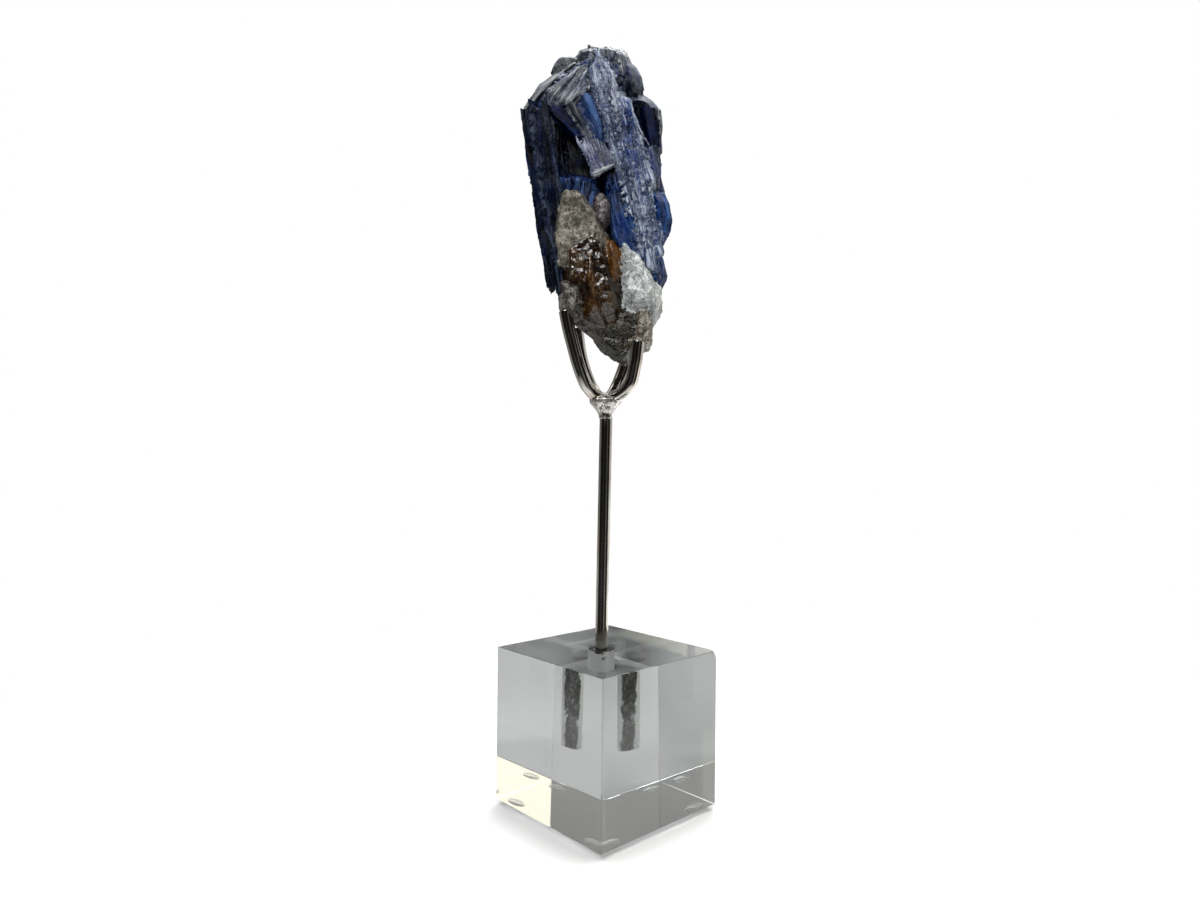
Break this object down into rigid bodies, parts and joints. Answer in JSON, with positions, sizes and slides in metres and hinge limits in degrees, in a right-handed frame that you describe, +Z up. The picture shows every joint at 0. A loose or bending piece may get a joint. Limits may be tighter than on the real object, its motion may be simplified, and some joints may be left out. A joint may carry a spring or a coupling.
{
  "type": "kyanite blade cluster",
  "caption": "Bladed blue kyanite specimen with smoky quartz and mica at its foot, held upright in a bent-wire fork on a rod set in a clear glass cube.",
  "frame": {"origin": "centre of the footprint on the surface the bumper feet rest on", "axes": "+Z up along the rod; +X and +Y square to the glass cube's sides, and the pictured front faces the cube corner at +X -Y"},
  "size_m": [0.0519, 0.0524, 0.2498],
  "materials": {
    "kyanite": "glassy deep blue to blue-grey blades, with smoky quartz and pale mica at the foot",
    "dark_nickel": "polished dark nickel plate",
    "sleeve_metal": "mottled grey metal with old adhesive",
    "clear_glass": "clear polished crystal glass",
    "clear_silicone": "clear soft silicone bumper"
  },
  "bodies": {
    "root": {"kyanite_cluster": "kyanite", "post": "dark_nickel", "fork_hub": "dark_nickel", "prong_front_left": "dark_nickel", "prong_front_right": "dark_nickel", "prong_back_left": "dark_nickel", "prong_back_right": "dark_nickel", "socket_sleeve": "sleeve_metal", "glass_block": "clear_glass", "foot_front": "clear_silicone", "foot_left": "clear_silicone", "foot_right": "clear_silicone", "foot_back": "clear_silicone"}
  },
  "joints": []
}
